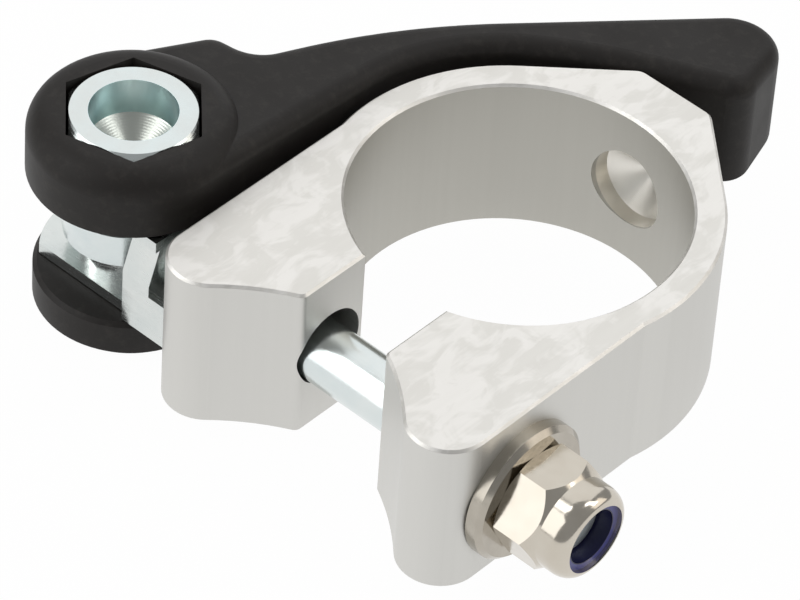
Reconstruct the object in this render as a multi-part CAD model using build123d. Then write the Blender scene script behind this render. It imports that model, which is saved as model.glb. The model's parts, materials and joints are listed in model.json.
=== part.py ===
from build123d import *
import math
import os

# Quick-release seatpost clamp, in millimetres.
# The bore axis is Z and the origin is at its middle. X runs along the skewer, from the lever to the nut,
# and the gap between the ears is at -Y.

# Collar
bore_diameter = 31.8
collar_height = 17.0
ring_wall = 3.0
ear_inset = 0.4             # flat sides of the ears inside the ring
gap_width = 9.84
mouth_reach = 3.3           # skewer axis to the front end of the gap faces
mouth_round = 0.8
ear_lobe_radius = 4.0
lobe_reach = 5.4            # skewer axis to the lobe centres
boss_wall = 5.85            # bore to the flat face of the boss
boss_side_angle = 47.5      # where the straight side of the boss leaves the ring
boss_corner = 1.5
edge_break = 0.25
dimple_diameter = 8.2
dimple_depth = 1.7          # straight wall of the dimple, from the bore
drill_point_angle = 118.0

# Skewer
skewer_wall = 3.9           # bore to the skewer axis
skewer_drop = 0.6           # the skewer rests low in the ear holes
fork_lift = 0.65            # middle of the lever's fork over the skewer axis
shank_diameter = 5.96
ear_hole_diameter = 7.8
ear_hole_back = 0.45        # the skewer also rests towards the mouth of the gap
tip_room = 0.3              # end of the shank to the nut's plastic ring
bolt_tip_chamfer = 0.6
slide_clearance = 0.05      # on the radius of a part that turns or slides

# Cam
hub_gap = 11.1              # ear to the lever's pivot
cam_offset = 0.75           # eccentric centre from the pivot
cam_radius = 3.0
cam_play = 0.25             # room along the skewer between the eccentric and the eye
top_journal_radius = 4.0
low_journal_radius = 2.2
rivet_radius = 3.4
rivet_height = 0.9
eye_radius = 5.8
eye_thickness = 3.5
eye_neck = 0.15             # shank to eye, past the eye's rim

# Stirrup
fork_gap = 11.3             # between the two discs of the lever
face_clearance = 0.1        # between flat faces that slide
leg_thickness = 1.2
leg_end_radius = 8.4
leg_half_width = 5.6
boss_radius = 4.8
web_start = 5.3             # pivot to the near face of the web
web_half_width = 6.4
web_length = 3.3
web_eaves = 0.6             # heights from the middle of the fork: where the web's sides start to slope in,
web_step = -0.6             # and below which it reaches the ear
web_roof_setback = 1.3
eye_room = 0.3              # past the eye at the end of its travel

# Lever
disc_radius = 9.8
disc_height = 7.15
disc_round = 2.6
low_disc_radius = 9.0
low_disc_height = 4.55
low_disc_chamfer = 1.0
disc_edge = 0.4
hex_flats = 11.8
hex_clearance = 0.25
hex_turn = 15.0             # degrees
head_sink = 0.1             # barrel head below the top of the disc
head_chamfer = 0.9
socket_diameter = 8.3
socket_depth = 3.9
arm_root_top = 11.9         # heights from the middle of the fork, at the pivot and at the tip
arm_root_bottom = -9.9
arm_tip_top = 7.5
arm_tip_bottom = -2.4
arm_edge = 1.6
arm_under_edge = 0.9
fork_slot_radius = 8.7
fork_slot_reach = 13.0
arm_root_angle = 47.0       # the arm bridges the discs between this angle and its mirror about Y

# Lever arm from above: shoulder and neck, measured from the pivot
shoulder_foot = (-8.2, 5.5)
shoulder_corner = (-4.0, 14.6)
shoulder_round = 2.4
neck_length = 4.5
neck_round = 3.6
neck_end = (2.1, 19.5)

# Lever arm from above: bend and tip, measured from the collar
bend_start = 1.2            # ahead of the bore axis
bend_angle = 128.0          # degrees round the bore from X
bend_gap = 1.76             # ring to the inner side
bend_end_gap = 1.65         # boss to the inner side
bend_end_offset = -1.8      # from the middle of the boss
back_angle = 136.3
back_gap = 5.7              # ring to the outer side
tip_gap = 19.35             # boss to the end of the tip
tip_offset = 0.9
tip_back_round = 4.5
tip_front_round = 2.5
inner_run = 7.2             # straight stretch from the inner bend to the tip

# Washer and lock nut
washer_diameter = 13.8
washer_hole = 6.4
washer_thickness = 1.6
washer_edge = 0.5
nut_flats = 9.6
nut_hex_length = 4.6
nut_length = 7.6
nut_chamfer_angle = 30.0
nut_shoulder_angle = 50.0   # where the hexagon slopes in to the collar
nut_collar_diameter = 9.2
nut_collar_round = 1.2
nut_collar_roll = 1.7       # length of the rolled end
nut_turn = -3.0             # degrees
insert_radius = 3.7
insert_bore = 5.5
insert_length = 1.9
insert_sink = 0.5
nut_lip_radius = 3.45

# Worked out from the sizes above
bore_radius = bore_diameter / 2
ring_radius = bore_radius + ring_wall
ear_side = ring_radius - ear_inset
shank_radius = shank_diameter / 2
skewer_reach = bore_radius + skewer_wall
gap_mouth = skewer_reach + mouth_reach
ear_lobe_reach = skewer_reach + lobe_reach
boss_reach = bore_radius + boss_wall
hub_reach = ear_side + hub_gap
web_end = web_start + web_length
foot_end = hub_gap
leg_outer = fork_gap / 2 - face_clearance
leg_inner = leg_outer - leg_thickness
eye_slot = eye_thickness / 2 + face_clearance
shank_start = eye_radius + eye_neck
head_top = fork_gap / 2 + disc_height - head_sink
low_disc_bottom = -fork_gap / 2 - low_disc_height
washer_end = ear_side + washer_thickness
nut_end = washer_end + nut_length
ring_seat_end = nut_end - insert_sink
ring_seat_start = ring_seat_end - insert_length
bolt_tip = ring_seat_start - tip_room
pivot = Pos(-hub_reach, -skewer_reach, fork_lift - skewer_drop)
skewer = Pos(0, -skewer_reach, -skewer_drop)


def rod(x_start, x_end, radius):
    """A cylinder along X."""
    return extrude(Plane.YZ.offset(x_start) * Circle(radius), x_end - x_start)


def post(z_start, z_end, radius):
    """A cylinder along Z."""
    return extrude(Plane.XY.offset(z_start) * Circle(radius), z_end - z_start)


def block(x_range, y_range, z_range):
    """A box given by its limits along each axis."""
    size = [high - low for low, high in (x_range, y_range, z_range)]
    middle = [(high + low) / 2 for low, high in (x_range, y_range, z_range)]
    return Pos(*middle) * Box(*size)


def turned(outline, axis):
    """A solid of revolution from the corners of its half section."""
    return revolve(make_face(Polyline(*outline, close=True)), axis)


def corner_at(outline, point):
    """The vertex of a flat outline that lies at the given point."""
    return outline.vertices().sort_by_distance(Vector(point))[0]


def collar_outline():
    """The collar from above, without its bore: ring, boss and the two lobed ears."""
    side = math.radians(boss_side_angle)
    side_foot = (ring_radius * math.cos(side), ring_radius * math.sin(side))
    boss_half = (ring_radius - boss_reach * math.sin(side)) / math.cos(side)
    lobe_x = ear_side - ear_lobe_radius
    lobe_share = ear_lobe_radius * math.sqrt(0.5)
    lobe_start = (lobe_x - lobe_share, -ear_lobe_reach - lobe_share)
    lobe_low = (lobe_x, -ear_lobe_reach - ear_lobe_radius)
    lobe_end = (ear_side, -ear_lobe_reach)
    ear_root = (ear_side, -math.sqrt(ring_radius**2 - ear_side**2))
    mouth = (gap_width / 2, -gap_mouth)
    half = make_face(
        Curve() + [
            Polyline((0, 0), (gap_width / 2, 0), mouth),
            TangentArc(lobe_start, mouth, tangent=(-1, 1)),
            ThreePointArc(lobe_start, lobe_low, lobe_end),
            Line(lobe_end, ear_root),
            RadiusArc(ear_root, side_foot, -ring_radius),
            Polyline(side_foot, (boss_half, boss_reach), (0, boss_reach), (0, 0)),
        ]
    )
    half = fillet(corner_at(half, (boss_half, boss_reach)), boss_corner)
    half = fillet(corner_at(half, mouth), mouth_round)
    return half + mirror(half, Plane.YZ)


def dimple():
    """A drilled blind hole with a pointed end, entered from the bore along +Y."""
    radius = dimple_diameter / 2
    point = radius / math.tan(math.radians(drill_point_angle / 2))
    floor = bore_radius + dimple_depth
    return turned([(0, 0), (radius, 0), (radius, floor), (0, floor + point)], Axis.Y)


def make_collar():
    body = extrude(collar_outline(), collar_height / 2, both=True)
    body -= post(-collar_height, collar_height, bore_radius)
    body -= block((-gap_width / 2, gap_width / 2), (-2 * gap_mouth, 0), (-collar_height, collar_height))
    body = chamfer(body.faces().filter_by(Axis.Z).edges(), edge_break)
    bolt_hole = rod(-2 * ring_radius, 2 * ring_radius, ear_hole_diameter / 2)
    body -= Pos(0, ear_hole_back - skewer_reach, 0) * bolt_hole
    return body - dimple()


def make_stirrup():
    """Two legs with bosses that carry the cam, joined by a web that bears on the ear."""
    leg_plan = Circle(leg_end_radius) & Rectangle(2 * leg_end_radius, 2 * leg_half_width)
    leg_plan += Pos(web_end / 2, 0) * Rectangle(web_end, 2 * leg_half_width)
    leg = extrude(leg_plan, leg_thickness)
    body = Pos(0, 0, leg_inner) * leg + Pos(0, 0, -leg_outer) * leg
    body += post(eye_slot, leg_inner, boss_radius) + post(-leg_inner, -eye_slot, boss_radius)
    body += make_web()
    body -= Pos(cam_offset, 0) * eye_pocket()
    body -= Pos(0, 0, -fork_lift) * rod(boss_radius, 2 * foot_end, shank_radius + slide_clearance)
    body -= post(0, fork_gap, top_journal_radius + slide_clearance)
    body -= post(-fork_gap, 0, low_journal_radius + slide_clearance)
    return pivot * body


def eye_pocket():
    """The room for the bolt's eye and the flat neck behind it."""
    neck_half = shank_radius + slide_clearance
    pocket_end = shank_start + eye_room
    neck = block((0, pocket_end), (-neck_half, neck_half), (-eye_slot, eye_slot))
    return post(-eye_slot, eye_slot, eye_radius + eye_room) + neck


def make_web():
    """The thrust block between the eye and the ear; its roofed upper half stops short of the ear."""
    roof_half = web_half_width - web_roof_setback
    upper = make_face(
        Polyline(
            (-web_half_width, -leg_outer),
            (web_half_width, -leg_outer),
            (web_half_width, web_eaves),
            (roof_half, leg_inner),
            (-roof_half, leg_inner),
            (-web_half_width, web_eaves),
            close=True,
        )
    )
    web = extrude(Plane.YZ.offset(web_start) * upper, web_length)
    foot_size = (web_start, foot_end), (-web_half_width, web_half_width), (-leg_outer, web_step)
    return web + block(*foot_size)


def make_cam_barrel():
    flats = extrude(Rot(0, 0, hex_turn) * RegularPolygon(hex_flats / 2, 6, major_radius=False), head_top)
    corner = hex_flats / math.sqrt(3)
    leg_top = leg_outer + face_clearance / 2
    envelope = [
        (0, leg_top),
        (corner, leg_top),
        (corner, head_top - head_chamfer),
        (hex_flats / 2, head_top),
        (0, head_top),
    ]
    head = flats & turned([(x, 0, z) for x, z in envelope], Axis.Z)
    radius = socket_diameter / 2
    floor = head_top - socket_depth
    point = radius / math.tan(math.radians(drill_point_angle / 2))
    socket = [(0, head_top), (radius, head_top), (radius, floor), (0, floor - point)]
    head -= turned([(x, 0, z) for x, z in socket], Axis.Z)
    eye_half = eye_thickness / 2
    body = head + post(eye_half, leg_top, top_journal_radius)
    body += Pos(-cam_offset, 0) * post(-eye_half, eye_half, cam_radius)
    body += post(low_disc_bottom, -eye_half, low_journal_radius)
    body += post(low_disc_bottom, low_disc_bottom + rivet_height, rivet_radius)
    return pivot * body


def make_eye_bolt():
    """The bolt is drawn back by the cam, so its eye sits one offset behind the pivot."""
    half = eye_thickness / 2
    plan = Circle(eye_radius) + Pos(shank_start / 2, 0) * Rectangle(shank_start, 2 * shank_radius)
    slot = SlotOverall(2 * (cam_radius + cam_offset + cam_play), 2 * (cam_radius + cam_play), rotation=90)
    eye = extrude(plan - slot, half, both=True)
    shank_end = bolt_tip + hub_reach + cam_offset
    shank = rod(shank_start, shank_end, shank_radius)
    shank = chamfer(shank.edges().sort_by(Axis.X)[-1], bolt_tip_chamfer)
    return pivot * Pos(-cam_offset, 0, 0) * (eye + Pos(0, 0, -fork_lift) * shank)


def from_hub(x, y):
    """A point given from the bore axis, as seen from the lever's pivot."""
    return Vector(x + hub_reach, y + skewer_reach)


def round_ring(angle, gap):
    """A point at a distance outside the ring, as seen from the lever's pivot."""
    turn = math.radians(angle)
    return from_hub((ring_radius + gap) * math.cos(turn), (ring_radius + gap) * math.sin(turn))


def arm_outline():
    """The arm from above: shouldered root, neck, and a grip that bends round the collar to a broad tip."""
    inner_start = (disc_radius, bend_start + skewer_reach)
    inner_middle = round_ring(bend_angle, bend_gap)
    inner_end = from_hub(bend_end_offset, boss_reach + bend_end_gap)
    back_start = round_ring(back_angle, back_gap)
    tip_back = from_hub(tip_offset, boss_reach + tip_gap)
    close_bend = TangentArc(inner_start, inner_middle, tangent=(0, 1))
    wide_bend = TangentArc(inner_middle, inner_end, tangent=close_bend % 1)
    tip_front = inner_end + (wide_bend % 1) * inner_run
    back = TangentArc(back_start, neck_end, tangent=back_start - tip_back)
    neck_corner = Vector(*neck_end) + (back % 1) * neck_length
    outline = make_face(
        Curve() + [
            Polyline((0, 0), shoulder_foot, shoulder_corner, neck_corner, neck_end),
            back,
            Polyline(back_start, tip_back, tip_front, inner_end),
            wide_bend,
            close_bend,
            Polyline(inner_start, (disc_radius, 0), (0, 0)),
        ]
    )
    for point, radius in (
        (shoulder_corner, shoulder_round),
        (neck_corner, neck_round),
        (tip_back, tip_back_round),
        (tip_front, tip_front_round),
    ):
        outline = fillet(corner_at(outline, point), radius)
    return outline


def past_shoulder(edge):
    """Whether an edge of the arm lies clear of the hub."""
    return edge.center().Y > shoulder_foot[1]


def make_arm():
    """The arm's outline, tapered in height towards the tip, with its long edges rounded."""
    reach = skewer_reach + boss_reach + tip_gap
    side = make_face(
        Polyline(
            (0, arm_root_bottom),
            (reach, arm_tip_bottom),
            (reach, arm_tip_top),
            (0, arm_root_top),
            close=True,
        )
    )
    slab = extrude(Plane.YZ * side, 2 * reach, both=True)
    arm = extrude(arm_outline(), 2 * fork_gap, both=True) & slab
    by_height = arm.faces().sort_by(Axis.Z)
    arm = fillet(by_height[-1].edges().filter_by(past_shoulder), arm_edge)
    underside = arm.faces().sort_by(Axis.Z)[0]
    return chamfer(underside.edges().filter_by(past_shoulder), arm_under_edge)


def make_top_disc():
    """The upper disc of the hub, rounded over."""
    disc = post(fork_gap / 2, fork_gap / 2 + disc_height, disc_radius)
    disc = fillet(disc.edges().sort_by(Axis.Z)[-1], disc_round)
    return chamfer(disc.edges().sort_by(Axis.Z)[0], disc_edge)


def make_low_disc():
    """The lower disc of the hub, chamfered underneath."""
    disc = post(low_disc_bottom, -fork_gap / 2, low_disc_radius)
    disc = chamfer(disc.edges().sort_by(Axis.Z)[0], low_disc_chamfer)
    return chamfer(disc.edges().sort_by(Axis.Z)[-1], disc_edge)


def fork_slot():
    """The room between the discs: the stirrup's swing, less the sector that carries the arm."""
    reach = fork_slot_reach
    angle = math.radians(arm_root_angle)
    sector = make_face(
        Polyline(
            (0, 0),
            (2 * reach * math.cos(angle), 2 * reach * math.sin(angle)),
            (-2 * reach * math.cos(angle), 2 * reach * math.sin(angle)),
            close=True,
        )
    )
    plan = Circle(reach) - (sector - Circle(fork_slot_radius))
    return extrude(plan, fork_gap / 2, both=True)


def make_lever():
    body = make_arm() - fork_slot() + make_top_disc() + make_low_disc()
    pocket = RegularPolygon(hex_flats / 2 + hex_clearance, 6, major_radius=False)
    body -= extrude(Rot(0, 0, hex_turn) * pocket, 2 * fork_gap)
    body -= post(-2 * fork_gap, 0, low_journal_radius + slide_clearance)
    rivet_seat = low_disc_bottom + rivet_height + slide_clearance
    body -= post(-2 * fork_gap, rivet_seat, rivet_radius + slide_clearance)
    return pivot * body


def make_washer():
    ring = rod(ear_side, washer_end, washer_diameter / 2)
    ring = chamfer(ring.edges().sort_by(Axis.X)[-1], washer_edge)
    return skewer * (ring - rod(0, nut_end, washer_hole / 2))


def rolled_rim():
    """The nut's round end, rolled over the plastic ring by a quarter of an ellipse."""
    radius = nut_collar_diameter / 2
    roll_start = nut_end - nut_collar_roll
    mouth = radius - nut_collar_round
    foot = [(nut_end, 0), (washer_end, 0), (washer_end, radius)]
    sides = Polyline((nut_end, mouth), *foot, (roll_start, radius))
    rolled = EllipticalCenterArc((roll_start, mouth), nut_collar_roll, nut_collar_round)
    return revolve(make_face(Curve() + [sides, rolled]), Axis.X)


def make_lock_nut():
    """A hexagon nut with a rolled collar that holds the plastic ring."""
    corner = nut_flats / math.sqrt(3)
    collar_radius = nut_collar_diameter / 2
    drop = (corner - nut_flats / 2) * math.tan(math.radians(nut_chamfer_angle))
    shoulder = (corner - collar_radius) * math.tan(math.radians(nut_shoulder_angle))
    hex_end = washer_end + nut_hex_length
    profile = RegularPolygon(nut_flats / 2, 6, major_radius=False)
    hexagon = extrude(Plane.YZ.offset(washer_end) * (Rot(0, 0, nut_turn) * profile), nut_hex_length)
    envelope = [
        (washer_end, 0),
        (washer_end, nut_flats / 2),
        (washer_end + drop, corner),
        (hex_end - shoulder, corner),
        (hex_end, collar_radius),
        (hex_end, 0),
    ]
    body = (hexagon & turned(envelope, Axis.X)) + rolled_rim()
    body -= rod(0, nut_end, shank_radius + slide_clearance)
    body -= rod(ring_seat_start, ring_seat_end, insert_radius)
    return skewer * (body - rod(ring_seat_end, nut_end, nut_lip_radius))


def make_nylon_insert():
    ring = rod(ring_seat_start, ring_seat_end, insert_radius)
    return skewer * (ring - rod(0, nut_end, insert_bore / 2))


os.makedirs("parts", exist_ok=True)
pieces = {
    "collar": make_collar,
    "stirrup": make_stirrup,
    "lever": make_lever,
    "cam_barrel": make_cam_barrel,
    "eye_bolt": make_eye_bolt,
    "washer": make_washer,
    "lock_nut": make_lock_nut,
    "nylon_insert": make_nylon_insert,
}
for name, make in pieces.items():
    export_step(make(), f"parts/{name}.step")
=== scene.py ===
import json
import bpy
import bmesh
import numpy as np
from mathutils import Matrix, Vector


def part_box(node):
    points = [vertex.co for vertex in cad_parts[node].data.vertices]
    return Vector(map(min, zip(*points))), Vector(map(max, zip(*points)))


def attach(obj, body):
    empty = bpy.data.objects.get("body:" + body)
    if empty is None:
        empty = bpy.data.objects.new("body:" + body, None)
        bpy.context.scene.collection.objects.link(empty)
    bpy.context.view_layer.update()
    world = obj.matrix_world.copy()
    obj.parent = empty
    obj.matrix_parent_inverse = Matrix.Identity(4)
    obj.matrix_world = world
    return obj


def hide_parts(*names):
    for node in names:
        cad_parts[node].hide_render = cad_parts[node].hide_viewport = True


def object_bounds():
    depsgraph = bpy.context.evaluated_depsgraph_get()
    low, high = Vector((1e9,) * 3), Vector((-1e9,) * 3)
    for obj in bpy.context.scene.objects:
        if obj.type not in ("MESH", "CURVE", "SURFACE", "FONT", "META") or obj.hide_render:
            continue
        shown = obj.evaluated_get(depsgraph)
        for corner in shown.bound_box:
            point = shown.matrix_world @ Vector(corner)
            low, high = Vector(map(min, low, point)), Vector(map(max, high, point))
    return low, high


# Quick-release seatpost clamp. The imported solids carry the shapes. This script gives them their finishes,
# cuts the thread on the bolt, and sets the stage, the light and the camera.

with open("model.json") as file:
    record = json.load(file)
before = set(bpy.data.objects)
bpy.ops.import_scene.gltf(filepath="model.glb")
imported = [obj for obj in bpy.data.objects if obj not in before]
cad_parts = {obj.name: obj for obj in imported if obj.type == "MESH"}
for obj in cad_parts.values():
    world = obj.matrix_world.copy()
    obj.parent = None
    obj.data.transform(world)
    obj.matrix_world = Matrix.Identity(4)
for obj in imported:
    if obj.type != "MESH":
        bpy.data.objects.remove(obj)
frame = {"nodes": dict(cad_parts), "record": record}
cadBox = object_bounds()
nodes = frame["nodes"]
record = frame["record"]
joints = {joint["name"]: joint for joint in record["behaviour"]["joints"]}
mm = 0.001
noiseRange = {"From_Min": 0.3, "From_Max": 0.7}   # where most of a noise texture's values lie
creaseAngle = np.radians(30)                      # edges sharper than this are shaded sharp
print("frame loaded:", ", ".join(sorted(nodes)))


def toLinear(hexColour):
    # an sRGB hex colour as the linear RGBA that shaders take
    srgb = np.array([int(hexColour[i:i + 2], 16) for i in (1, 3, 5)]) / 255
    linear = np.where(srgb <= 0.04045, srgb / 12.92, ((srgb + 0.055) / 1.055) ** 2.4)
    return (*linear.tolist(), 1.0)


def addObject(name, data):
    made = bpy.data.objects.new(name, data)
    bpy.context.scene.collection.objects.link(made)
    return made


def addNode(tree, kind, settings=None, **inputs):
    # one node with its settings; an input is a plain value or a socket to link from, named or as i0, i1, ...
    made = tree.nodes.new(kind)
    for name, value in (settings or {}).items():
        setattr(made, name, value)
    for name, value in inputs.items():
        byIndex = name[0] == "i" and name[1:].isdigit()
        socket = made.inputs[int(name[1:]) if byIndex else name.replace("_", " ")]
        if isinstance(value, bpy.types.NodeSocket):
            tree.links.new(value, socket)
        else:
            socket.default_value = value
    return made


def startMaterial(name):
    # an empty node tree with its output, its shader and the object's own coordinates
    made = bpy.data.materials.new(name)
    made.use_nodes = True
    tree = made.node_tree
    tree.nodes.clear()
    shader = addNode(tree, "ShaderNodeBsdfPrincipled")
    addNode(tree, "ShaderNodeOutputMaterial", Surface=shader.outputs["BSDF"])
    point = addNode(tree, "ShaderNodeTexCoord").outputs["Object"]
    return made, tree, shader, point


def setShader(tree, shader, links, constants):
    # joins the shader's inputs to their sources and sets others to plain values
    for name, source in links.items():
        tree.links.new(source, shader.inputs[name])
    for name, value in constants.items():
        shader.inputs[name].default_value = value


def axisDistance(tree, point, place, across):
    # distance from the axis through a place in metres; across has a 1 for each direction square to the axis
    centred = addNode(tree, "ShaderNodeMapping", Vector=point, Location=[-part for part in place])
    flat = addNode(tree, "ShaderNodeVectorMath", {"operation": "MULTIPLY"}, i0=centred.outputs[0], i1=across)
    length = addNode(tree, "ShaderNodeVectorMath", {"operation": "LENGTH"}, i0=flat.outputs[0])
    return length.outputs["Value"]


def ringWave(tree, radius, spacing):
    # rings about an axis: the sine of the radius, one period for each spacing in mm
    turn = addNode(tree, "ShaderNodeMath", {"operation": "MULTIPLY"}, i0=radius,
                   i1=2 * np.pi / (spacing * mm))
    return addNode(tree, "ShaderNodeMath", {"operation": "SINE"}, i0=turn.outputs[0]).outputs[0]


def toScale(sizes):
    # texture scales that give features of these sizes in mm
    return [1 / (size * mm) for size in sizes]


collarLook = {
    "wall": "#d6d5d1",
    # darker than the walls: partly the machined bore's finish, partly a painted shade inside the clamp
    "bore": "#bdbbb4",
    "sanded": "#e2e0db",            # the two flat ends
    "smeared": "#edebe7",
    "drilled": "#efece5",           # the dimple
    "roughness": (0.46, 0.54),      # from the smoothest places to the roughest
    "dimpleRoughness": 0.36,
    "smears": (2.6, 4.5, 1.0),      # mm, across the sanding strokes, along them, and up
    "smearEdge": (0.59, 0.73),      # where a smear begins and where it is full
    "strokes": (0.55, 12.0, 1.0),   # mm, single sanding lines, in the same order
    "feather": 0.3,                 # how much the strokes fray the smears
    "dieLines": (0.6, 0.6, 50.0),   # mm, faint lines that the extrusion die leaves up the walls
    "dieShare": 0.25,               # their strength beside the strokes
    "grain": 0.12,                  # mm, the tumbled tooth
    "grainShare": 0.5,              # its strength beside the lines
    "bumpStrength": 0.12,
    "bumpDepth": 0.03,              # mm
    "endDepth": 0.24,               # mm, the broken edges are sanded with the ends
    "dimpleRadius": 4.1,            # mm
    "drillRing": 0.14,              # mm, marks of the drill's point
    "slack": 0.05,                  # mm, round the bore and the dimple
}


def makeCollarAluminium(look):
    # Extruded aluminium, sawn, sanded on its ends and tumbled: pale and satin, with slightly paler smears
    # along the sanding strokes on the two flat ends, hardly visible die lines up the walls, and bright
    # drill rings in the dimple.
    made, tree, shader, point = startMaterial("tumbledAluminium")
    back, top = (float(side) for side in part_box("collar")[1][1:])
    slack = look["slack"] * mm
    split = addNode(tree, "ShaderNodeSeparateXYZ", Vector=point)
    height = addNode(tree, "ShaderNodeMath", {"operation": "ABSOLUTE"}, i0=split.outputs["Z"])
    isEnd = addNode(tree, "ShaderNodeMath", {"operation": "GREATER_THAN"}, i0=height.outputs[0],
                    i1=top - look["endDepth"] * mm)
    # the bore is what lies nearest to its axis
    mount = record["mounts"][0]
    boreEdge = mount["dims"]["r_mm"] * mm + slack
    boreRadius = axisDistance(tree, point, mount["pos_m"], (1, 1, 0))
    isBore = addNode(tree, "ShaderNodeMath", {"operation": "LESS_THAN"}, i0=boreRadius, i1=boreEdge)
    # the dimple is round the Y axis, between the bore and the outside of the boss
    drillRadius = axisDistance(tree, point, mount["pos_m"], (1, 0, 1))
    nearDrill = addNode(tree, "ShaderNodeMath", {"operation": "LESS_THAN"}, i0=drillRadius,
                        i1=look["dimpleRadius"] * mm + slack)
    inWall = addNode(tree, "ShaderNodeMath", {"operation": "COMPARE"}, i0=split.outputs["Y"],
                     i1=(boreEdge + back) / 2, i2=(back - boreEdge) / 2 - slack)
    isDimple = addNode(tree, "ShaderNodeMath", {"operation": "MULTIPLY"}, i0=nearDrill.outputs[0],
                       i1=inWall.outputs[0])
    # smears on the ends, frayed by the sanding strokes
    smearPlace = addNode(tree, "ShaderNodeMapping", Vector=point, Scale=toScale(look["smears"]))
    smears = addNode(tree, "ShaderNodeTexNoise", Vector=smearPlace.outputs[0], Scale=1.0, Detail=3.0,
                     Roughness=0.6, Distortion=0.8)
    strokePlace = addNode(tree, "ShaderNodeMapping", Vector=point, Scale=toScale(look["strokes"]))
    strokes = addNode(tree, "ShaderNodeTexNoise", Vector=strokePlace.outputs[0], Scale=1.0, Detail=2.0)
    feather = addNode(tree, "ShaderNodeMath", {"operation": "MULTIPLY_ADD"}, i0=strokes.outputs["Fac"],
                      i1=look["feather"], i2=smears.outputs["Fac"])
    patch = addNode(tree, "ShaderNodeMapRange", Value=feather.outputs[0], From_Min=look["smearEdge"][0],
                    From_Max=look["smearEdge"][1])
    # painted shade: the bore's darker colour is partly painted shade, partly its machined finish
    around = addNode(tree, "ShaderNodeMix", {"data_type": "RGBA"}, i0=isBore.outputs[0],
                     i6=toLinear(look["wall"]), i7=toLinear(look["bore"]))
    end = addNode(tree, "ShaderNodeMix", {"data_type": "RGBA"}, i0=patch.outputs[0],
                  i6=toLinear(look["sanded"]), i7=toLinear(look["smeared"]))
    outside = addNode(tree, "ShaderNodeMix", {"data_type": "RGBA"}, i0=isEnd.outputs[0],
                      i6=around.outputs[2], i7=end.outputs[2])
    colour = addNode(tree, "ShaderNodeMix", {"data_type": "RGBA"}, i0=isDimple.outputs[0],
                     i6=outside.outputs[2], i7=toLinear(look["drilled"]))
    # sanding lines on the ends, die lines on the walls about the same middle height
    diePlace = addNode(tree, "ShaderNodeMapping", Vector=point, Scale=toScale(look["dieLines"]))
    dieLines = addNode(tree, "ShaderNodeTexNoise", Vector=diePlace.outputs[0], Scale=1.0, Detail=1.0)
    faintLines = addNode(tree, "ShaderNodeMath", {"operation": "MULTIPLY_ADD"}, i0=dieLines.outputs["Fac"],
                         i1=look["dieShare"], i2=(1 - look["dieShare"]) / 2)
    lines = addNode(tree, "ShaderNodeMix", {"data_type": "FLOAT"}, i0=isEnd.outputs[0],
                    i2=faintLines.outputs[0], i3=strokes.outputs["Fac"])
    lineRough = addNode(tree, "ShaderNodeMapRange", Value=lines.outputs[0], **noiseRange,
                        To_Min=look["roughness"][0], To_Max=look["roughness"][1])
    rough = addNode(tree, "ShaderNodeMix", {"data_type": "FLOAT"}, i0=isDimple.outputs[0],
                    i2=lineRough.outputs[0], i3=look["dimpleRoughness"])
    # height: tooth and lines, and rings in the dimple
    tooth = addNode(tree, "ShaderNodeTexNoise", Vector=point, Scale=1 / (look["grain"] * mm), Detail=2.0)
    both = addNode(tree, "ShaderNodeMath", {"operation": "MULTIPLY_ADD"}, i0=tooth.outputs["Fac"],
                   i1=look["grainShare"], i2=lines.outputs[0])
    relief = addNode(tree, "ShaderNodeMix", {"data_type": "FLOAT"}, i0=isDimple.outputs[0],
                     i2=both.outputs[0], i3=ringWave(tree, drillRadius, look["drillRing"]))
    bump = addNode(tree, "ShaderNodeBump", Height=relief.outputs[0], Strength=look["bumpStrength"],
                   Distance=look["bumpDepth"] * mm)
    setShader(tree, shader, {"Base Color": colour.outputs[2], "Roughness": rough.outputs[0],
                             "Normal": bump.outputs[0]}, {"Metallic": 1.0})
    return made


leverLook = {
    "colour": "#1f1c1a",
    "scuffed": "#2b2825",
    "roughness": (0.47, 0.57),
    "specular": 0.25,
    "ior": 1.53,
    "grain": 0.35,               # mm, spark-eroded mould texture; drawn a little coarse so that it shows
    "cloud": 9.0,                # mm, slow change of sheen
    "scuffWidth": 1.2,           # mm
    "scuffEdge": (0.5, 0.75),    # where a scuff begins and where it is full
    "bumpStrength": 0.15,
    "bumpDepth": 0.03,           # mm
}


def makeLeverNylon(look):
    # Glass-filled nylon from a spark-eroded mould: near black, satin, with a fine even tooth, a sheen that
    # changes slowly over the surface, and faint dusty scuffs from handling.
    made, tree, shader, point = startMaterial("mouldedGlassFilledNylon")
    grain = addNode(tree, "ShaderNodeTexNoise", Vector=point, Scale=1 / (look["grain"] * mm), Detail=2.0)
    cloud = addNode(tree, "ShaderNodeTexNoise", Vector=point, Scale=1 / (look["cloud"] * mm), Detail=2.0)
    handled = addNode(tree, "ShaderNodeTexNoise", Vector=point, Scale=1 / (look["scuffWidth"] * mm),
                      Detail=4.0, Roughness=0.7)
    scuff = addNode(tree, "ShaderNodeMapRange", Value=handled.outputs["Fac"], From_Min=look["scuffEdge"][0],
                    From_Max=look["scuffEdge"][1])
    colour = addNode(tree, "ShaderNodeMix", {"data_type": "RGBA"}, i0=scuff.outputs[0],
                     i6=toLinear(look["colour"]), i7=toLinear(look["scuffed"]))
    rough = addNode(tree, "ShaderNodeMapRange", Value=cloud.outputs["Fac"], **noiseRange,
                    To_Min=look["roughness"][0], To_Max=look["roughness"][1])
    bump = addNode(tree, "ShaderNodeBump", Height=grain.outputs["Fac"], Strength=look["bumpStrength"],
                   Distance=look["bumpDepth"] * mm)
    setShader(tree, shader, {"Base Color": colour.outputs[2], "Roughness": rough.outputs[0],
                             "Normal": bump.outputs[0]},
              {"IOR": look["ior"], "Specular IOR Level": look["specular"]})
    return made


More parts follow.
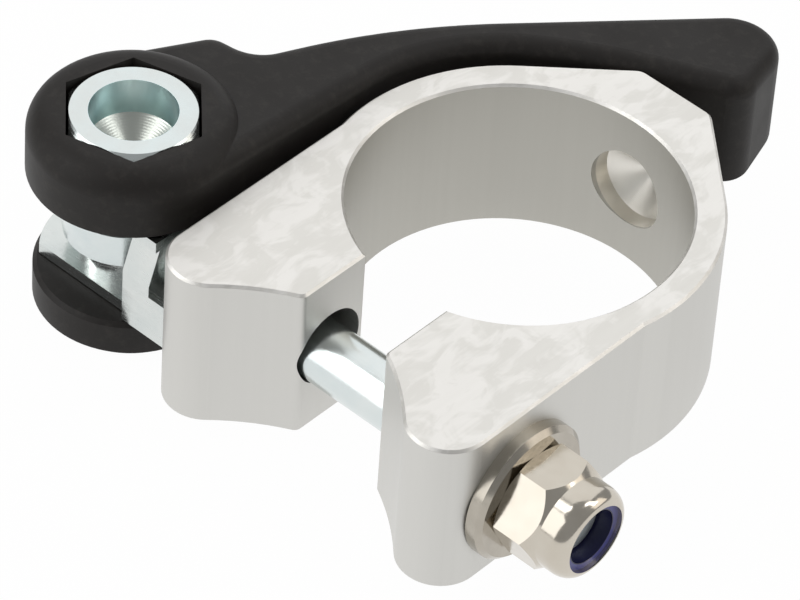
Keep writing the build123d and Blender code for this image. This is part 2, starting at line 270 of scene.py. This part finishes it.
boltLook = {
    "name": "drawnZincPlatedSteel",
    "pale": "#e2e6e4",
    "blue": "#d0dadb",
    "roughness": (0.16, 0.26),
    "cutRoughness": 0.5,         # the tip, cut and not drawn
    "cloud": 3.0,                # mm, tint of the clear passivate
    "marks": (1.5, 0.12, 0.12),  # mm, along the drawing marks and across them
    "markHeight": 0.003,         # mm
    "waveHeight": 0.0,           # mm
}
stirrupLook = {
    "name": "pressedZincPlatedSteel",
    "pale": "#e0e2df",
    "blue": "#c9d0cf",
    "roughness": (0.18, 0.28),
    "cloud": 2.6,                # mm
    "marks": (1.8, 0.15, 0.15),  # mm
    "markHeight": 0.003,         # mm
    "waveHeight": 0.07,          # mm, left by the press
}


def makeZincSteel(look):
    # Steel with bright zinc plate and a clear passivate: a sharp, slightly blue shine, clouded by fine
    # marks along the skewer. The bolt is drawn straight, the pressed stirrup waves a little.
    made, tree, shader, point = startMaterial(look["name"])
    cloud = addNode(tree, "ShaderNodeTexNoise", Vector=point, Scale=1 / (look["cloud"] * mm), Detail=3.0)
    tint = addNode(tree, "ShaderNodeMix", {"data_type": "RGBA"}, i0=cloud.outputs["Fac"],
                   i6=toLinear(look["blue"]), i7=toLinear(look["pale"]))
    markPlace = addNode(tree, "ShaderNodeMapping", Vector=point, Scale=toScale(look["marks"]))
    marks = addNode(tree, "ShaderNodeTexNoise", Vector=markPlace.outputs[0], Scale=1.0, Detail=2.0)
    rough = addNode(tree, "ShaderNodeMapRange", Value=marks.outputs["Fac"], **noiseRange,
                    To_Min=look["roughness"][0], To_Max=look["roughness"][1])
    if "cutRoughness" in look:
        # the tip is what lies beyond the solid's end
        split = addNode(tree, "ShaderNodeSeparateXYZ", Vector=point)
        isTip = addNode(tree, "ShaderNodeMath", {"operation": "GREATER_THAN"}, i0=split.outputs["X"],
                        i1=float(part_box("eye_bolt")[1][0]))
        rough = addNode(tree, "ShaderNodeMix", {"data_type": "FLOAT"}, i0=isTip.outputs[0],
                        i2=rough.outputs[0], i3=look["cutRoughness"])
    markRelief = addNode(tree, "ShaderNodeMath", {"operation": "MULTIPLY"}, i0=marks.outputs["Fac"],
                         i1=look["markHeight"])
    relief = addNode(tree, "ShaderNodeMath", {"operation": "MULTIPLY_ADD"}, i0=cloud.outputs["Fac"],
                     i1=look["waveHeight"], i2=markRelief.outputs[0])
    bump = addNode(tree, "ShaderNodeBump", Height=relief.outputs[0], Strength=1.0, Distance=mm)
    setShader(tree, shader, {"Base Color": tint.outputs[2], "Roughness": rough.outputs[0],
                             "Normal": bump.outputs[0]}, {"Metallic": 1.0})
    return made


turnedLook = {
    "pale": "#d6dad8",
    # near white: the pooled passivate's tint, and painted light that brightens the socket's shaded walls
    "blue": "#e2f6f9",
    # painted shade: the socket's cone is painted darker than its walls
    "floor": "#bec2bb",          # the socket's cone
    "roughness": (0.16, 0.27),
    "socketRoughness": 0.28,
    "cloud": 3.0,                # mm
    "cloudTint": 0.25,           # share of blue in the clouds
    "socketTintAndPaintedLight": 0.8,           # and in the socket
    "ring": 0.24,                # mm, turning marks; drawn coarse so that they show
    "mark": 0.5,                 # mm, knocks and scratches
    "markEdge": (0.35, 0.65),    # where a mark begins and where it is full
    "markShare": 0.8,            # its height beside the rings
    "bumpStrength": 0.16,
    "bumpDepth": 0.02,           # mm
    "socketEdge": 4.17,          # mm, just over the socket's radius
    "socketDepth": 3.9,          # mm, to the foot of its wall
}


def makeTurnedZinc(look):
    # A turned steel barrel with bright zinc plate: rings round its axis, and in the drilled socket, where
    # the passivate pools, a clear blue tint, near white, that is also painted light on the socket's shaded
    # walls. The cone at the socket's bottom is painted darker, a painted shade.
    made, tree, shader, point = startMaterial("turnedZincPlatedSteel")
    radius = axisDistance(tree, point, joints["lever_swing"]["pos_m"], (1, 1, 0))
    inSocket = addNode(tree, "ShaderNodeMath", {"operation": "LESS_THAN"}, i0=radius,
                       i1=look["socketEdge"] * mm)
    cloud = addNode(tree, "ShaderNodeTexNoise", Vector=point, Scale=1 / (look["cloud"] * mm), Detail=3.0)
    cloudShare = addNode(tree, "ShaderNodeMapRange", Value=cloud.outputs["Fac"], **noiseRange,
                         To_Min=0.0, To_Max=look["cloudTint"])
    # in the socket the near-white blue is partly the passivate and partly painted light on its shaded walls
    share = addNode(tree, "ShaderNodeMath", {"operation": "MULTIPLY_ADD"}, i0=inSocket.outputs[0],
                    i1=look["socketTintAndPaintedLight"], i2=cloudShare.outputs[0])
    tint = addNode(tree, "ShaderNodeMix", {"data_type": "RGBA"}, i0=share.outputs[0],
                   i6=toLinear(look["pale"]), i7=toLinear(look["blue"]))
    # the cone is what lies in the socket below its wall; it is painted darker, a painted shade at the
    # socket's bottom
    split = addNode(tree, "ShaderNodeSeparateXYZ", Vector=point)
    wallFoot = float(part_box("cam_barrel")[1][2]) - look["socketDepth"] * mm
    isLow = addNode(tree, "ShaderNodeMath", {"operation": "LESS_THAN"}, i0=split.outputs["Z"], i1=wallFoot)
    isShadedCone = addNode(tree, "ShaderNodeMath", {"operation": "MULTIPLY"}, i0=isLow.outputs[0],
                      i1=inSocket.outputs[0])
    colour = addNode(tree, "ShaderNodeMix", {"data_type": "RGBA"}, i0=isShadedCone.outputs[0], i6=tint.outputs[2],
                     i7=toLinear(look["floor"]))
    marks = addNode(tree, "ShaderNodeTexNoise", Vector=point, Scale=1 / (look["mark"] * mm), Detail=3.0)
    outerRough = addNode(tree, "ShaderNodeMapRange", Value=marks.outputs["Fac"],
                         From_Min=look["markEdge"][0], From_Max=look["markEdge"][1],
                         To_Min=look["roughness"][0], To_Max=look["roughness"][1])
    rough = addNode(tree, "ShaderNodeMix", {"data_type": "FLOAT"}, i0=inSocket.outputs[0],
                    i2=outerRough.outputs[0], i3=look["socketRoughness"])
    relief = addNode(tree, "ShaderNodeMath", {"operation": "MULTIPLY_ADD"}, i0=marks.outputs["Fac"],
                     i1=look["markShare"], i2=ringWave(tree, radius, look["ring"]))
    bump = addNode(tree, "ShaderNodeBump", Height=relief.outputs[0], Strength=look["bumpStrength"],
                   Distance=look["bumpDepth"] * mm)
    setShader(tree, shader, {"Base Color": colour.outputs[2], "Roughness": rough.outputs[0],
                             "Normal": bump.outputs[0]}, {"Metallic": 1.0})
    return made


nutLook = {
    "name": "barrelPlatedNickel",
    "warm": "#c2baad",
    "pale": "#cec8bd",
    "roughness": (0.11, 0.19),
    "cloud": 2.0,                # mm
    "mark": 0.5,                 # mm, knocks from barrel plating
    "bumpStrength": 0.06,
    "bumpDepth": 0.03,           # mm
}
washerLook = {
    "name": "stampedNickelPlateWithPaintedShade",
    # darker than the nut: partly the duller stamped plate, partly a painted reflection of the dark nut
    "warm": "#a59f94",
    "pale": "#b9b3a8",
    "roughness": (0.16, 0.24),
    "cloud": 1.5,                # mm
    "mark": 0.7,                 # mm, left by the stamping die
    "bumpStrength": 0.06,
    "bumpDepth": 0.03,           # mm
}


def makeNickelSteel(look):
    # Nickel plate on steel, bright and slightly warm, with small soft knocks: the nut turned and plated in
    # a barrel, the washer stamped and duller, and painted darker: partly its plate, partly a painted
    # reflection of the dark nut beside it.
    made, tree, shader, point = startMaterial(look["name"])
    cloud = addNode(tree, "ShaderNodeTexNoise", Vector=point, Scale=1 / (look["cloud"] * mm), Detail=3.0)
    tint = addNode(tree, "ShaderNodeMix", {"data_type": "RGBA"}, i0=cloud.outputs["Fac"],
                   i6=toLinear(look["warm"]), i7=toLinear(look["pale"]))
    marks = addNode(tree, "ShaderNodeTexNoise", Vector=point, Scale=1 / (look["mark"] * mm), Detail=2.0)
    rough = addNode(tree, "ShaderNodeMapRange", Value=marks.outputs["Fac"], **noiseRange,
                    To_Min=look["roughness"][0], To_Max=look["roughness"][1])
    bump = addNode(tree, "ShaderNodeBump", Height=marks.outputs["Fac"], Strength=look["bumpStrength"],
                   Distance=look["bumpDepth"] * mm)
    setShader(tree, shader, {"Base Color": tint.outputs[2], "Roughness": rough.outputs[0],
                             "Normal": bump.outputs[0]}, {"Metallic": 1.0})
    return made


insertLook = {
    "colour": "#4e519a",
    "deep": "#3c3f82",
    # painted shade: the bore's darker colour stands in for the shade down it
    "cut": "#1d1f46",
    "roughness": (0.29, 0.41),
    "ior": 1.53,
    "cloud": 1.0,                # mm
    "boreShadeEdge": 2.85,             # mm, just over the bore's radius
}


def makeInsertNylon(look):
    # Dyed nylon, moulded smooth: deep blue, not quite even, with a soft shine, and darker in the bore that
    # the bolt's thread has cut, a painted shade of the bore's depth.
    made, tree, shader, point = startMaterial("mouldedBlueNylon")
    cloud = addNode(tree, "ShaderNodeTexNoise", Vector=point, Scale=1 / (look["cloud"] * mm))
    dyed = addNode(tree, "ShaderNodeMix", {"data_type": "RGBA"}, i0=cloud.outputs["Fac"],
                   i6=toLinear(look["deep"]), i7=toLinear(look["colour"]))
    radius = axisDistance(tree, point, joints["skewer_swivel"]["pos_m"], (0, 1, 1))
    # painted shade: darker in the bore, near the skewer's axis
    isShadedBore = addNode(tree, "ShaderNodeMath", {"operation": "LESS_THAN"}, i0=radius, i1=look["boreShadeEdge"] * mm)
    colour = addNode(tree, "ShaderNodeMix", {"data_type": "RGBA"}, i0=isShadedBore.outputs[0], i6=dyed.outputs[2],
                     i7=toLinear(look["cut"]))
    rough = addNode(tree, "ShaderNodeMapRange", Value=cloud.outputs["Fac"], **noiseRange,
                    To_Min=look["roughness"][0], To_Max=look["roughness"][1])
    setShader(tree, shader, {"Base Color": colour.outputs[2], "Roughness": rough.outputs[0]},
              {"IOR": look["ior"]})
    return made


def dress(piece, material):
    piece.data.materials.clear()
    piece.data.materials.append(material)


for name, finish in {
    "collar": makeCollarAluminium(collarLook),
    "lever": makeLeverNylon(leverLook),
    "stirrup": makeZincSteel(stirrupLook),
    "cam_barrel": makeTurnedZinc(turnedLook),
    "washer": makeNickelSteel(washerLook),
    "lock_nut": makeNickelSteel(nutLook),
    "nylon_insert": makeInsertNylon(insertLook),
}.items():
    dress(nodes[name], finish)
print("finishes on the solids")


threadLook = {
    "start": 13.8,               # mm from the middle of the clamp
    "pitch": 1.0,                # mm
    "major": 2.97,               # mm, radius over the crests
    "minor": 2.37,               # mm, radius at the roots
    "flat": 0.12,                # share of the pitch that is flat at a crest and at a root
    "runOut": 1.5,               # mm over which the thread dies out
    "chamfer": 0.6,              # mm at the tip
    "point": 0.6,                # mm past the solid's end, so that the tip shows in the nut
    "rows": 20,                  # for each turn
    "columns": 56,
}


def shadeSmooth(mesh):
    mesh.shade_smooth()
    mesh.set_sharp_from_angle(angle=creaseAngle)


def makeThread(look):
    # A right-hand thread about the skewer. Along the bolt the radius runs between root and crest as a
    # trapezoid wave of x / pitch - angle / turn. It rises to the full depth over the run-out, and a cone
    # cuts it back at the tip. Each end closes on a point on the axis.
    axis = np.array(joints["skewer_swivel"]["pos_m"]) / mm
    tip = float(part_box("eye_bolt")[1][0]) / mm + look["point"]
    count = int(round((tip - look["start"]) / look["pitch"] * look["rows"])) + 1
    x = np.linspace(look["start"], tip, count)[:, None]
    turn = np.arange(look["columns"])[None, :] / look["columns"]
    wave = np.abs(2 * ((x / look["pitch"] - turn) % 1) - 1)
    tooth = np.clip((wave - look["flat"]) / (1 - 2 * look["flat"]), 0, 1)
    cut = np.clip((x - look["start"]) / look["runOut"], 0, 1) * (look["major"] - look["minor"])
    radius = look["major"] - cut * (1 - tooth)
    radius = np.minimum(radius, look["major"] - look["chamfer"] + tip - x)
    y = axis[1] + radius * np.cos(2 * np.pi * turn)
    z = axis[2] + radius * np.sin(2 * np.pi * turn)
    grid = np.stack(np.broadcast_arrays(x, y, z), -1)
    ends = np.array([[look["start"], axis[1], axis[2]], [tip, axis[1], axis[2]]])
    points = np.concatenate([grid.reshape(-1, 3), ends]) * mm
    # quads along the bolt, then a fan at each end, all facing outwards
    number = np.arange(count * look["columns"]).reshape(count, look["columns"])
    after = np.roll(number, -1, axis=1)
    quads = np.stack([number[:-1], after[:-1], after[1:], number[1:]], -1).reshape(-1, 4)
    first = np.stack([after[0], number[0], np.full_like(number[0], number.size)], -1)
    last = np.stack([number[-1], after[-1], np.full_like(number[0], number.size + 1)], -1)
    mesh = bpy.data.meshes.new("boltThread")
    mesh.from_pydata(points, [], quads.tolist() + first.tolist() + last.tolist())
    shadeSmooth(mesh)
    return addObject("boltThread", mesh)


shankLook = {
    "end": threadLook["start"] + 0.2,   # mm, a little way into the thread
    "weld": 0.001,                      # mm, corners nearer than this are one
}


def makePlainBolt(look):
    # the bolt's own solid up to the start of the thread, cut square and closed
    work = bmesh.new()
    work.from_mesh(nodes["eye_bolt"].data)
    bmesh.ops.remove_doubles(work, verts=work.verts, dist=look["weld"] * mm)
    everything = work.verts[:] + work.edges[:] + work.faces[:]
    sliced = bmesh.ops.bisect_plane(work, geom=everything, plane_co=(look["end"] * mm, 0, 0),
                                    plane_no=(1, 0, 0), clear_outer=True)
    rim = [part for part in sliced["geom_cut"] if isinstance(part, bmesh.types.BMEdge)]
    bmesh.ops.holes_fill(work, edges=rim)
    mesh = bpy.data.meshes.new("boltShank")
    work.to_mesh(mesh)
    work.free()
    mesh.attributes.remove(mesh.attributes["custom_normal"])   # it belongs to the loose triangles
    shadeSmooth(mesh)
    return addObject("boltShank", mesh)


drawnZinc = makeZincSteel(boltLook)
boltThread = makeThread(threadLook)
boltShank = makePlainBolt(shankLook)
for piece in (boltThread, boltShank):
    dress(piece, drawnZinc)
    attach(piece, "bolt")
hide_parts("eye_bolt")
print("thread cut on the bolt")


stageLook = {
    "drop": 0.1,                 # mm under the lowest point
    "size": 4000.0,              # mm
    "paper": "#f2f1ee",
    "glow": "#ffffff",
    "white": 0.98,               # how much of the glow the eye sees in place of the shaded paper
}


def makeStage(look):
    # a white paper floor that keeps a faint shadow; the eye and the metal see it nearly white
    lowest = cadBox[0][2] - look["drop"] * mm
    half = look["size"] * mm / 2
    corners = [(-half, -half, lowest), (half, -half, lowest), (half, half, lowest), (-half, half, lowest)]
    mesh = bpy.data.meshes.new("paperFloor")
    mesh.from_pydata(corners, [], [(0, 1, 2, 3)])
    floor = addObject("paperFloor", mesh)
    paper = bpy.data.materials.new("whitePaper")
    paper.use_nodes = True
    tree = paper.node_tree
    tree.nodes.clear()
    rays = addNode(tree, "ShaderNodeLightPath")
    seen = addNode(tree, "ShaderNodeMath", {"operation": "MAXIMUM"}, i0=rays.outputs["Is Camera Ray"],
                   i1=rays.outputs["Is Glossy Ray"])
    seenToo = addNode(tree, "ShaderNodeMath", {"operation": "MAXIMUM"}, i0=seen.outputs[0],
                      i1=rays.outputs["Is Transmission Ray"])
    share = addNode(tree, "ShaderNodeMath", {"operation": "MULTIPLY"}, i0=seenToo.outputs[0],
                    i1=look["white"])
    matte = addNode(tree, "ShaderNodeBsdfDiffuse", Color=toLinear(look["paper"]))
    bright = addNode(tree, "ShaderNodeEmission", Color=toLinear(look["glow"]), Strength=1.0)
    mixed = addNode(tree, "ShaderNodeMixShader", i0=share.outputs[0], i1=matte.outputs[0],
                    i2=bright.outputs[0])
    addNode(tree, "ShaderNodeOutputMaterial", Surface=mixed.outputs[0])
    dress(floor, paper)


lightLook = {
    "sky": "#f4f5f6",
    "skyStrength": 0.4,
    # name: place in mm, length and width in mm, turn in degrees, power in watts, colour
    "lamps": {
        "overBack": ((-262, 311, 385), (760, 760), 0, 1.3, "#ffffff"),
        "stripLeft": ((-290, -243, 480), (420, 130), 90, 0.5, "#ffffff"),
        "stripRight": ((290, 243, 480), (420, 130), 90, 0.5, "#ffffff"),
        "frontLeft": ((-262, -420, 240), (480, 480), 0, 1.06, "#ffffff"),
        "rightBack": ((370, 345, 235), (320, 320), 0, 0.36, "#fff6ea"),
    },
}


def makeLight(look):
    # even sky, three soft boxes turned to the clamp, and two strips over its sides
    world = bpy.data.worlds.new("studioSky")
    bpy.context.scene.world = world
    world.use_nodes = True
    tree = world.node_tree
    tree.nodes.clear()
    sky = addNode(tree, "ShaderNodeBackground", Color=toLinear(look["sky"]), Strength=look["skyStrength"])
    addNode(tree, "ShaderNodeOutputWorld", Surface=sky.outputs[0])
    for name, (place, size, turn, power, colour) in look["lamps"].items():
        lamp = bpy.data.lights.new(name, "AREA")
        lamp.shape = "RECTANGLE"
        lamp.size = size[0] * mm
        lamp.size_y = size[1] * mm
        lamp.energy = power
        lamp.color = toLinear(colour)[:3]
        holder = addObject(name, lamp)
        holder.location = Vector(place) * mm
        facing = holder.location.to_track_quat("Z", "Y").to_matrix()
        holder.rotation_euler = (facing @ Matrix.Rotation(np.radians(turn), 3, "Z")).to_euler()


cameraLook = {
    "place": (244.246, -305.665, 366.279),   # mm
    "right": (0.73121, 0.68019, 0.05171),
    "down": (0.49682, -0.47907, -0.72364),
    "lens": 263.69,                          # mm, on the sensor below
    "sensor": 36.0,                          # mm
    "reach": 10.0,                           # m
}


def makeCamera(look):
    # a long lens from the right of the gap, looking down
    right, down = Vector(look["right"]), Vector(look["down"])
    back = right.cross(-down)
    turn = Matrix((right, -down, back)).transposed().to_4x4()
    lens = bpy.data.cameras.new("productCamera")
    lens.sensor_width = look["sensor"]
    lens.lens = look["lens"]
    lens.clip_end = look["reach"]
    camera = addObject("productCamera", lens)
    camera.matrix_world = Matrix.Translation(Vector(look["place"]) * mm) @ turn
    bpy.context.scene.camera = camera


makeStage(stageLook)
makeLight(lightLook)
makeCamera(cameraLook)
bpy.context.scene.view_settings.view_transform = "Standard"
print("stage, light and camera set")
